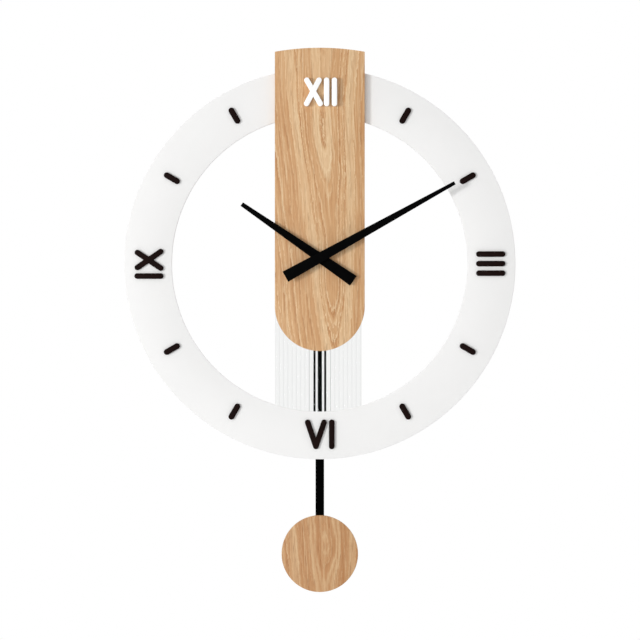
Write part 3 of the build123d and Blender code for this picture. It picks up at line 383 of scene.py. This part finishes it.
def circuit_green(name):
    """Lacquered board with a maze of slightly raised tracks."""
    g = Graph(name, Specular_IOR_Level=0.5)
    cells = g.node("ShaderNodeTexVoronoi", feature="DISTANCE_TO_EDGE", distance="CHEBYCHEV")
    g.put(cells.inputs["Vector"], g.stretch((420, 420, 420)))
    cells.inputs["Scale"].default_value = 1.0
    tracks = g.ramp(cells.outputs["Distance"], [(0.04, 1.0), (0.09, 0.0)])
    g.colour(g.mix(tracks, (0.015, 0.10, 0.035), (0.04, 0.22, 0.08)))
    g.roughness(g.noise(g.stretch((900,) * 3)), 0.25, 0.45)
    g.bump(tracks, 0.00003)
    return g.material


def battery_sleeve():
    """Plain cell: a grey sleeve with a darker band at the positive end and metal ends."""
    g = Graph("battery_sleeve", Specular_IOR_Level=0.5)
    low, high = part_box("battery")
    axes = g.node("ShaderNodeSeparateXYZ")
    g.put(axes.inputs[0], g.place)
    reach = g.node("ShaderNodeMapRange")
    g.put(reach.inputs["Value"], axes.outputs["X"])
    reach.inputs["From Min"].default_value = low.x
    reach.inputs["From Max"].default_value = high.x
    steel, sleeve, band = (0.55, 0.55, 0.54), (0.42, 0.47, 0.50), (0.05, 0.10, 0.14)
    bands = g.ramp(
        reach.outputs[0],
        [(0.0, steel), (0.02, sleeve), (0.70, sleeve), (0.71, band), (0.955, band), (0.96, steel)],
    )
    bands.node.color_ramp.interpolation = "CONSTANT"
    scuffs = g.noise(g.stretch((150, 900, 900)), detail=3)
    g.colour(g.mix(g.ramp(scuffs, [(0.45, 0.0), (0.75, 0.25)]), bands, (0.6, 0.6, 0.6)))
    g.roughness(scuffs, 0.2, 0.4)
    g.bump(scuffs, 0.000005)
    return g.material


PANEL_KNOTS = (
    ((0.004, PANEL_HIGH.z - 0.092), (0.013, 0.040), -0.007),
    ((0.012, HAND_AXIS[1] - 0.032), (0.014, 0.034), -0.007),
)
BOB_KNOTS = (((0.010, BOB_MIDDLE.z + 0.006), (0.014, 0.024), -0.008),)
MATERIALS = {
    "oak_panel": oak("oak_panel", heart=-0.009, offset=(3.1, 1.7, 4.4), knots=PANEL_KNOTS),
    "oak_bob": oak(
        "oak_bob", heart=0.014, offset=(8.2, 5.5, 1.3), knots=BOB_KNOTS, tint=(0.84, 0.77, 0.71)
    ),
    "ring_white": speckled(
        "ring_white", (0.865, 0.862, 0.855), 0.012, grain=1500, soft=14, rough=(0.38, 0.5),
        relief=0.000006,
    ),
    "numeral_white": speckled(
        "numeral_white", (0.995, 0.995, 0.99), 0.01, grain=1800, soft=60, rough=(0.15, 0.3),
        relief=0.000003,
    ),
    "marker_brown_black": speckled(
        "marker_brown_black", (0.0080, 0.0022, 0.0016), 0.25, grain=1800, soft=120,
        rough=(0.4, 0.6), Specular_IOR_Level=0.06,
    ),
    "hand_black": speckled(
        "hand_black", (0.0010, 0.0011, 0.0012), 0.3, grain=3500, soft=160, rough=(0.5, 0.68),
        Specular_IOR_Level=0.02,
    ),
    "rod_black": brushed(
        "rod_black", (0.0006, 0.0006, 0.0006), (2500, 2500, 40), (0.45, 0.6), metallic=0.0,
        Specular_IOR_Level=0.01,
    ),
    "case_black": speckled(
        "case_black", (0.028, 0.028, 0.030), 0.12, grain=1900, soft=50, rough=(0.5, 0.7), relief=0.00004
    ),
    "white_plastic": speckled(
        "white_plastic", (0.78, 0.77, 0.73), 0.03, grain=900, rough=(0.35, 0.5)
    ),
    "grey_plastic": speckled("grey_plastic", (0.33, 0.33, 0.34), 0.06, grain=1400, relief=0.00002),
    "chip_black": speckled("chip_black", (0.015, 0.015, 0.016), 0.15, grain=700, rough=(0.2, 0.35)),
    "rubber": speckled(
        "rubber", (0.022, 0.022, 0.022), 0.2, grain=1500, rough=(0.7, 0.9), relief=0.00004
    ),
    "spacer_board": speckled(
        "spacer_board", (0.36, 0.24, 0.14), 0.3, grain=1300, rough=(0.7, 0.9), relief=0.00006
    ),
    "magnet": speckled(
        "magnet", (0.10, 0.10, 0.11), 0.25, grain=2400, rough=(0.3, 0.5), Metallic=0.7
    ),
    "brass": brushed("brass", (0.80, 0.58, 0.26), (900, 5000, 900), (0.18, 0.34)),
    "steel": brushed("steel", (0.62, 0.62, 0.63), (400, 400, 2600), (0.22, 0.42)),
    "battery_sleeve": battery_sleeve(),
    "copper_wire": copper_winding("copper_wire"),
    "board_green": circuit_green("board_green"),
    "clear_acrylic": clear_acrylic(),
}


# --- Mesh building -------------------------------------------------------------------------------


def add_object(name, mesh, body, nodes, material, smooth_angle=35):
    """Turn a mesh into a piece that stands for CAD nodes and rides on their body."""
    mesh.name = name
    mesh.materials.clear()
    mesh.materials.append(MATERIALS[material])
    for face in mesh.polygons:
        face.use_smooth = True
    mesh.set_sharp_from_angle(angle=math.radians(smooth_angle))
    piece = bpy.data.objects.new(name, mesh)
    bpy.context.scene.collection.objects.link(piece)
    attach(piece, body)
    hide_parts(*nodes)


def slab(outlines, back, front, edge):
    """Mesh of a flat board in front of the wall, its edges rounded. Outlines are lists of (X, Z)."""
    curve = bpy.data.curves.new("outline", "CURVE")
    curve.dimensions = "2D"
    curve.fill_mode = "BOTH"
    curve.extrude = (front - back) / 2 - edge
    curve.bevel_depth = edge
    curve.bevel_resolution = BEVEL_RESOLUTION
    curve.offset = -edge
    for outline in outlines:
        spline = curve.splines.new("POLY")
        spline.points.add(len(outline) - 1)
        spline.use_cyclic_u = True
        for point, (x, z) in zip(spline.points, outline):
            point.co = (x, z, 0, 1)
    holder = bpy.data.objects.new("outline", curve)
    mesh = bpy.data.meshes.new_from_object(holder)
    bpy.data.objects.remove(holder)
    bpy.data.curves.remove(curve)
    facing = Matrix(((1, 0, 0, 0), (0, 0, -1, -(back + front) / 2), (0, 1, 0, 0), (0, 0, 0, 1)))
    mesh.transform(facing)
    work = bmesh.new()
    work.from_mesh(mesh)
    bmesh.ops.remove_doubles(work, verts=work.verts, dist=1e-6)
    bmesh.ops.recalc_face_normals(work, faces=work.faces)
    work.to_mesh(mesh)
    work.free()
    return mesh


def lathe(profile, centre, segments):
    """Mesh turned about an axis through centre (X, Z) that points out of the wall.

    The profile is a closed loop of (radius, depth); where its radius is 0 it meets the axis."""
    work = bmesh.new()
    rows = []
    for radius, depth in profile:
        if radius == 0:
            rows.append([work.verts.new((centre[0], -depth, centre[1]))])
            continue
        row = []
        for k in range(segments):
            turn = 2 * math.pi * k / segments
            x = centre[0] + radius * math.cos(turn)
            z = centre[1] + radius * math.sin(turn)
            row.append(work.verts.new((x, -depth, z)))
        rows.append(row)
    closed = profile[0][0] > 0
    pairs = list(zip(rows, rows[1:])) + ([(rows[-1], rows[0])] if closed else [])
    for first, second in pairs:
        for k in range(segments):
            n = (k + 1) % segments
            corners = [(first, k), (first, n), (second, n), (second, k)]
            unique = list(dict.fromkeys(row[i % len(row)] for row, i in corners))
            if len(unique) > 2:
                work.faces.new(unique)
    bmesh.ops.recalc_face_normals(work, faces=work.faces)
    mesh = bpy.data.meshes.new("lathe")
    work.to_mesh(mesh)
    work.free()
    return mesh


def rounded_section(inner, outer, back, front, edge):
    """Closed (radius, depth) loop of a rectangle whose four corners are rounded."""
    corners = (
        (outer - edge, front - edge, 0),
        (inner + edge, front - edge, 90),
        (inner + edge, back + edge, 180),
        (outer - edge, back + edge, 270),
    )
    loop = []
    for radius, depth, start in corners:
        for k in range(EDGE_STEPS + 1):
            turn = math.radians(start + 90 * k / EDGE_STEPS)
            loop.append((radius + edge * math.cos(turn), depth + edge * math.sin(turn)))
    return loop


def disc_section(outer, back, front, edge):
    """(radius, depth) profile of a disc with rounded rims, from front centre to back centre."""
    rim = []
    for depth, start in ((front - edge, 90), (back + edge, 0)):
        for k in range(EDGE_STEPS + 1):
            turn = math.radians(start - 90 * k / EDGE_STEPS)
            rim.append((outer - edge + edge * math.cos(turn), depth + edge * math.sin(turn)))
    return [(0, front)] + rim + [(0, back)]


def drill(mesh, centre, radius, back, front, segments=64):
    """Cut a round hole through a mesh between two depths."""
    section = [(0, front), (radius, front), (radius, back), (0, back)]
    cutter_mesh = lathe(section, centre, segments)
    cutter = bpy.data.objects.new("cutter", cutter_mesh)
    work_piece = bpy.data.objects.new("work_piece", mesh)
    for made in (cutter, work_piece):
        bpy.context.scene.collection.objects.link(made)
    cut = work_piece.modifiers.new("hole", "BOOLEAN")
    cut.operation = "DIFFERENCE"
    cut.solver = "EXACT"
    cut.object = cutter
    bpy.context.view_layer.update()
    shaped = work_piece.evaluated_get(bpy.context.evaluated_depsgraph_get())
    result = bpy.data.meshes.new_from_object(shaped)
    for made in (cutter, work_piece):
        bpy.data.objects.remove(made)
    return result


def arc(centre, radius, start, end, steps):
    """Points along a circular arc, angles in degrees anticlockwise from +X."""
    points = []
    for k in range(steps + 1):
        turn = math.radians(start + (end - start) * k / steps)
        points.append((centre[0] + radius * math.cos(turn), centre[1] + radius * math.sin(turn)))
    return points


def stroke(start, end, width):
    """Outline of a round-ended stroke between the centres of its ends."""
    heading = math.degrees(math.atan2(end[1] - start[1], end[0] - start[0]))
    return arc(end, width / 2, heading - 90, heading + 90, STROKE_END_STEPS) + arc(
        start, width / 2, heading + 90, heading + 270, STROKE_END_STEPS
    )


# --- Dial ring, panel and bob --------------------------------------------------------------------

ring_back, ring_front = depths("dial_ring")
ring_mesh = lathe(
    rounded_section(RING_INNER, RING_OUTER, ring_back, ring_front, RING_EDGE), (0, DIAL_Z), 480
)
add_object("dial_ring_board", ring_mesh, "clock", ["dial_ring"], "ring_white")

panel_back, panel_front = depths("oak_panel")
half_width = PANEL_HIGH.x
top_half_angle = math.degrees(math.asin(half_width / PANEL_TOP_RADIUS))
panel_outline = arc((0, PANEL_LOW.z + half_width), half_width, 180, 360, 96) + arc(
    (0, PANEL_HIGH.z - PANEL_TOP_RADIUS), PANEL_TOP_RADIUS, 90 - top_half_angle,
    90 + top_half_angle, 48,
)
recess_back = panel_back + NUT_RECESS_FLOOR
panel_mesh = slab([panel_outline], panel_back, panel_front, PANEL_EDGE)
panel_mesh = drill(panel_mesh, HAND_AXIS, NUT_RECESS_RADIUS, recess_back, panel_front + OVERCUT)
panel_mesh = drill(panel_mesh, HAND_AXIS, BUSH_HOLE_RADIUS, panel_back - OVERCUT, panel_front)
add_object("oak_panel_board", panel_mesh, "clock", ["oak_panel"], "oak_panel")

bob_back, bob_front = depths("pendulum_bob")
bob_low, bob_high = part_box("pendulum_bob")
bob_radius = (bob_high.z - bob_low.z) / 2
bob_mesh = lathe(
    disc_section(bob_radius, bob_back, bob_front, BOB_EDGE), (BOB_MIDDLE.x, BOB_MIDDLE.z), 256
)
add_object("oak_bob_disc", bob_mesh, "pendulum", ["pendulum_bob"], "oak_bob")

# --- Fluted strip --------------------------------------------------------------------------------

PANEL_SCREWS = [(side * x, DIAL_Z + z) for side in (-1, 1) for x, z in PANEL_SCREW_OFFSETS]
RING_SCREWS = [
    (side * RING_SCREW_OFFSET[0], DIAL_Z + RING_SCREW_OFFSET[1]) for side in (-1, 1)
]
SCREW_PLACES = PANEL_SCREWS + RING_SCREWS


def fluted_profile():
    """Closed (X, depth) loop of the strip's section: a row of round flutes, then a plain border."""
    back, front = depths("fluted_strip")
    sweep = math.asin(FLUTE_PITCH / 2 / FLUTE_RADIUS)
    loop = []
    for flute in range(FLUTE_COUNT):
        crest_x = STRIP_LOW.x + (flute + 0.5) * FLUTE_PITCH
        for k in range(FLUTE_STEPS):
            turn = sweep * (2 * k / FLUTE_STEPS - 1)
            x = crest_x + FLUTE_RADIUS * math.sin(turn)
            loop.append((x, front - FLUTE_RADIUS * (1 - math.cos(turn))))
    valley = front - FLUTE_RADIUS * (1 - math.cos(sweep))
    loop.append((STRIP_LOW.x + FLUTE_COUNT * FLUTE_PITCH, valley))
    loop.append((STRIP_HIGH.x, valley))
    loop.append((STRIP_HIGH.x, back))
    loop.append((STRIP_LOW.x, back))
    return loop


def strip_mesh():
    """The fluted section drawn out along Z, with the holes for the bush and the screws."""
    loop = fluted_profile()
    work = bmesh.new()
    ends = [[work.verts.new((x, -depth, z)) for x, depth in loop] for z in (STRIP_LOW.z, STRIP_HIGH.z)]
    for k in range(len(loop)):
        n = (k + 1) % len(loop)
        work.faces.new((ends[0][k], ends[0][n], ends[1][n], ends[1][k]))
    for end in ends:
        work.faces.new(end)
    bmesh.ops.recalc_face_normals(work, faces=work.faces)
    mesh = bpy.data.meshes.new("strip")
    work.to_mesh(mesh)
    work.free()
    back, front = depths("fluted_strip")
    mesh = drill(mesh, HAND_AXIS, BUSH_HOLE_RADIUS, back - OVERCUT, front + OVERCUT, 48)
    for place in SCREW_PLACES:
        mesh = drill(mesh, place, SCREW_HOLE_RADIUS, back - OVERCUT, front + OVERCUT, 24)
    return mesh


add_object(
    "clear_fluted_strip", strip_mesh(), "clock", ["fluted_strip"],
    "clear_acrylic", smooth_angle=25,
)

# --- Numerals and hour bars ----------------------------------------------------------------------


def on_dial(x, z):
    """A point measured from the ring's centre, in millimetres, as (X, Z) in metres."""
    return (x / 1000, DIAL_Z + z / 1000)


def join_meshes(meshes, name):
    """One mesh from several."""
    work = bmesh.new()
    for mesh in meshes:
        work.from_mesh(mesh)
    joined = bpy.data.meshes.new(name)
    work.to_mesh(joined)
    work.free()
    return joined


def fuse(meshes):
    """One closed mesh from pieces that cross each other."""
    first = bpy.data.objects.new("first", meshes[0])
    bpy.context.scene.collection.objects.link(first)
    others = []
    for mesh in meshes[1:]:
        other = bpy.data.objects.new("other", mesh)
        bpy.context.scene.collection.objects.link(other)
        others.append(other)
        union = first.modifiers.new("union", "BOOLEAN")
        union.operation = "UNION"
        union.solver = "EXACT"
        union.object = other
    bpy.context.view_layer.update()
    shaped = first.evaluated_get(bpy.context.evaluated_depsgraph_get())
    result = bpy.data.meshes.new_from_object(shaped)
    for made in [first, *others]:
        bpy.data.objects.remove(made)
    return result


STROKE_WIDTH = 0.0057
XII_STROKE_WIDTH = 0.0054


def glyph(strokes, width, back, front):
    """Mesh of one letter, its strokes fused where they cross."""
    outlines = [stroke(on_dial(*a), on_dial(*b), width) for a, b in strokes]
    boards = [slab([outline], back, front, MARKER_EDGE) for outline in outlines]
    return fuse(boards) if len(boards) > 1 else boards[0]


# Each numeral is a list of letters, each letter a list of strokes between two points on the dial
NUMERALS = {
    "numeral_xii": [
        [((-13.2, 186.6), (0.5, 162.8)), ((-0.8, 186.6), (-13.5, 162.8))],
        [((6.95, 186.6), (6.95, 162.8))],
        [((14.9, 186.6), (14.9, 162.8))],
    ],
    "numeral_iii": [[((162.6, z), (186.8, z))] for z in (-9.77, 0, 9.77)],
    "numeral_vi": [
        [((-12.4, -162.2), (-4.0, -186.8)), ((4.3, -162.2), (-4.0, -186.8))],
        [((12.2, -162.2), (12.2, -186.8))],
    ],
    "numeral_ix": [
        [((-186.4, 11.3), (-162.6, -4.6)), ((-186.4, -3.9), (-162.6, 12.3))],
        [((-186.6, -12.7), (-162.6, -12.7))],
    ],
}
for node, letters in NUMERALS.items():
    back, front = depths(node)
    is_xii = node == "numeral_xii"
    width = XII_STROKE_WIDTH if is_xii else STROKE_WIDTH
    slot = "numeral_white" if is_xii else "marker_brown_black"
    mesh = join_meshes([glyph(strokes, width, back, front) for strokes in letters], node)
    add_object(f"raised_{node}", mesh, "clock", [node], slot)

bar_back, bar_front = depths("hour_bars")
bars = []
for hour in (1, 2, 4, 5, 7, 8, 10, 11):
    turn = math.radians(90 - 30 * hour)
    ends = [on_dial(r * math.cos(turn), r * math.sin(turn)) for r in BAR_ENDS]
    bars.append(slab([stroke(*ends, BAR_WIDTH)], bar_back, bar_front, MARKER_EDGE))
add_object(
    "raised_hour_bars", join_meshes(bars, "hour_bars"), "clock", ["hour_bars"],
    "marker_brown_black",
)

# --- Hands and pendulum rod ----------------------------------------------------------------------


def blade(clock_angle, tail, tail_width, tip, tip_width):
    """Outline of a tapered hand in millimetres, turned clockwise from twelve o'clock."""
    turn = math.radians(-clock_angle)
    tail_half, tip_half = tail_width / 2, tip_width / 2
    corners = ((-tail_half, -tail), (tail_half, -tail), (tip_half, tip), (-tip_half, tip))
    points = []
    for x, z in corners:
        across = x * math.cos(turn) - z * math.sin(turn)
        along = x * math.sin(turn) + z * math.cos(turn)
        points.append((HAND_AXIS[0] + across / 1000, HAND_AXIS[1] + along / 1000))
    return points


minute_outline = blade(clock_angle=61, tail=40, tail_width=11.9, tip=157, tip_width=3.6)
minute_mesh = slab([minute_outline], *depths("minute_hand"), HAND_EDGE)
add_object(
    "minute_hand_blade", minute_mesh, "minute_group", ["minute_hand"], "hand_black"
)

# A hole's loop stops one step short of its start, because slab closes it
hour_outlines = [
    blade(clock_angle=304.5, tail=41.5, tail_width=12, tip=96.5, tip_width=4.4),
    arc(HAND_AXIS, HOUR_PIPE_RADIUS, 0, 352.5, 47),
]
hour_mesh = slab(hour_outlines, *depths("hour_hand"), HAND_EDGE)
add_object("hour_hand_blade", hour_mesh, "hour_group", ["hour_hand"], "hand_black")

rod_low, rod_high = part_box("pendulum_rod")
rod_half = (rod_high.x - rod_low.x) / 2
hook_z = rod_high.z - rod_half + HOOK_HOLE_RISE
rod_outlines = [
    stroke((0, rod_high.z - rod_half), (0, rod_low.z + rod_half), 2 * rod_half),
    arc((0, hook_z), HOOK_HOLE_RADIUS, 0, 345, 23),
]
rod_mesh = slab(rod_outlines, *depths("pendulum_rod"), ROD_EDGE)
add_object("pendulum_rod_strip", rod_mesh, "pendulum", ["pendulum_rod"], "rod_black")

# --- Carried-over CAD nodes ----------------------------------------------------------------------

# The oak nodes are replaced above, by pieces with two oaks of their own, so "oak" has no entry.
node_slots = {row["node"]: row["material_slot"] for row in frame["record"]["subparts"]}
for name, cad_object in frame["nodes"].items():
    material = MATERIALS.get(node_slots[name])
    if material is None:
        continue
    cad_object.data.materials.clear()
    cad_object.data.materials.append(material)

# --- Floor, light and camera ---------------------------------------------------------------------

FLOOR_DROP = 1.2
FLOOR_RADIUS = 6.0
FLOOR_CORNERS = 96
floor_z = CAD_BOX[0].z - FLOOR_DROP
floor_mesh = bpy.data.meshes.new("floor")
floor_rim = [
    Matrix.Rotation(math.tau * i / FLOOR_CORNERS, 3, "Z") @ Vector((FLOOR_RADIUS, 0, 0))
    for i in range(FLOOR_CORNERS)
]
floor_mesh.from_pydata(
    [(p.x, p.y, floor_z) for p in floor_rim], [], [tuple(range(FLOOR_CORNERS))]
)
floor_mesh.materials.append(
    speckled(
        "floor_pale", (0.86, 0.86, 0.86), 0.01, grain=40, soft=1.5, rough=(0.7, 0.85), relief=0.0001
    )
)
floor = bpy.data.objects.new("floor", floor_mesh)
bpy.context.scene.collection.objects.link(floor)

# The world is plain white to the eye and through the clear strip. As a light it is a softer grey,
# brighter behind the clock than in front of it.
AMBIENT_FRONT = 0.50
AMBIENT_BACK = 0.55
world = bpy.data.worlds.new("studio")
bpy.context.scene.world = world
world.use_nodes = True
tree = world.node_tree
background = next(n for n in tree.nodes if n.type == "BACKGROUND")
background.inputs["Color"].default_value = (1, 1, 1, 1)
path = tree.nodes.new("ShaderNodeLightPath")
seen = tree.nodes.new("ShaderNodeMath")
seen.operation = "MAXIMUM"
tree.links.new(path.outputs["Is Camera Ray"], seen.inputs[0])
tree.links.new(path.outputs["Is Transmission Ray"], seen.inputs[1])
direction = tree.nodes.new("ShaderNodeSeparateXYZ")
tree.links.new(tree.nodes.new("ShaderNodeTexCoord").outputs["Generated"], direction.inputs[0])
ambient = tree.nodes.new("ShaderNodeMapRange")
ambient.inputs["From Min"].default_value = 0.0
ambient.inputs["From Max"].default_value = 0.5
ambient.inputs["To Min"].default_value = AMBIENT_FRONT
ambient.inputs["To Max"].default_value = AMBIENT_BACK
tree.links.new(direction.outputs["Y"], ambient.inputs["Value"])
strength = tree.nodes.new("ShaderNodeMapRange")
tree.links.new(ambient.outputs[0], strength.inputs["To Min"])
strength.inputs["To Max"].default_value = 1.0
tree.links.new(seen.outputs[0], strength.inputs["Value"])
tree.links.new(strength.outputs[0], background.inputs["Strength"])


def softbox(name, place, size, power, aim):
    """A rectangular area light at a place, turned towards a point.

    Its size is (width, height) in metres and its power is in watts."""
    data = bpy.data.lights.new(name, "AREA")
    data.shape = "RECTANGLE"
    data.size, data.size_y = size
    data.energy = power
    lamp = bpy.data.objects.new(name, data)
    lamp.location = place
    lamp.rotation_mode = "QUATERNION"
    lamp.rotation_quaternion = (Vector(aim) - Vector(place)).to_track_quat("-Z", "Y")
    bpy.context.scene.collection.objects.link(lamp)


aim = (0, 0, DIAL_Z)
softbox("key_left", (-8.20, -8.76, DIAL_Z + 0.1), (1.9, 1.9), 535, aim)
softbox("wide_left", (-2.56, -7.05, DIAL_Z + 0.1), (4.3, 2.0), 106, aim)
softbox("back_fill", (2.5, 4.0, DIAL_Z + 1.5), (2.0, 2.0), 24, aim)
softbox("overhead", (0, 1.2, 3.0), (2.4, 2.4), 70, (0, 1.2, -1))

CAMERA_DISTANCE = 3.0
SENSOR_WIDTH = 36.0
FRAME_WIDTH = 3.272 * RING_OUTER  # what the picture spans at the ring's front
CAMERA_SIDE = 0.0002
CAMERA_DROP = 0.0634  # below the hands' axis
camera_data = bpy.data.cameras.new("camera")
camera_data.sensor_width = SENSOR_WIDTH
camera_data.lens = SENSOR_WIDTH * (CAMERA_DISTANCE - ring_front) / FRAME_WIDTH
camera_data.clip_end = 50
camera = bpy.data.objects.new("camera", camera_data)
camera.location = (CAMERA_SIDE, -CAMERA_DISTANCE, HAND_AXIS[1] - CAMERA_DROP)
camera.rotation_euler = (math.pi / 2, 0, 0)
bpy.context.scene.collection.objects.link(camera)
bpy.context.scene.camera = camera

bpy.context.scene.view_settings.view_transform = "Standard"
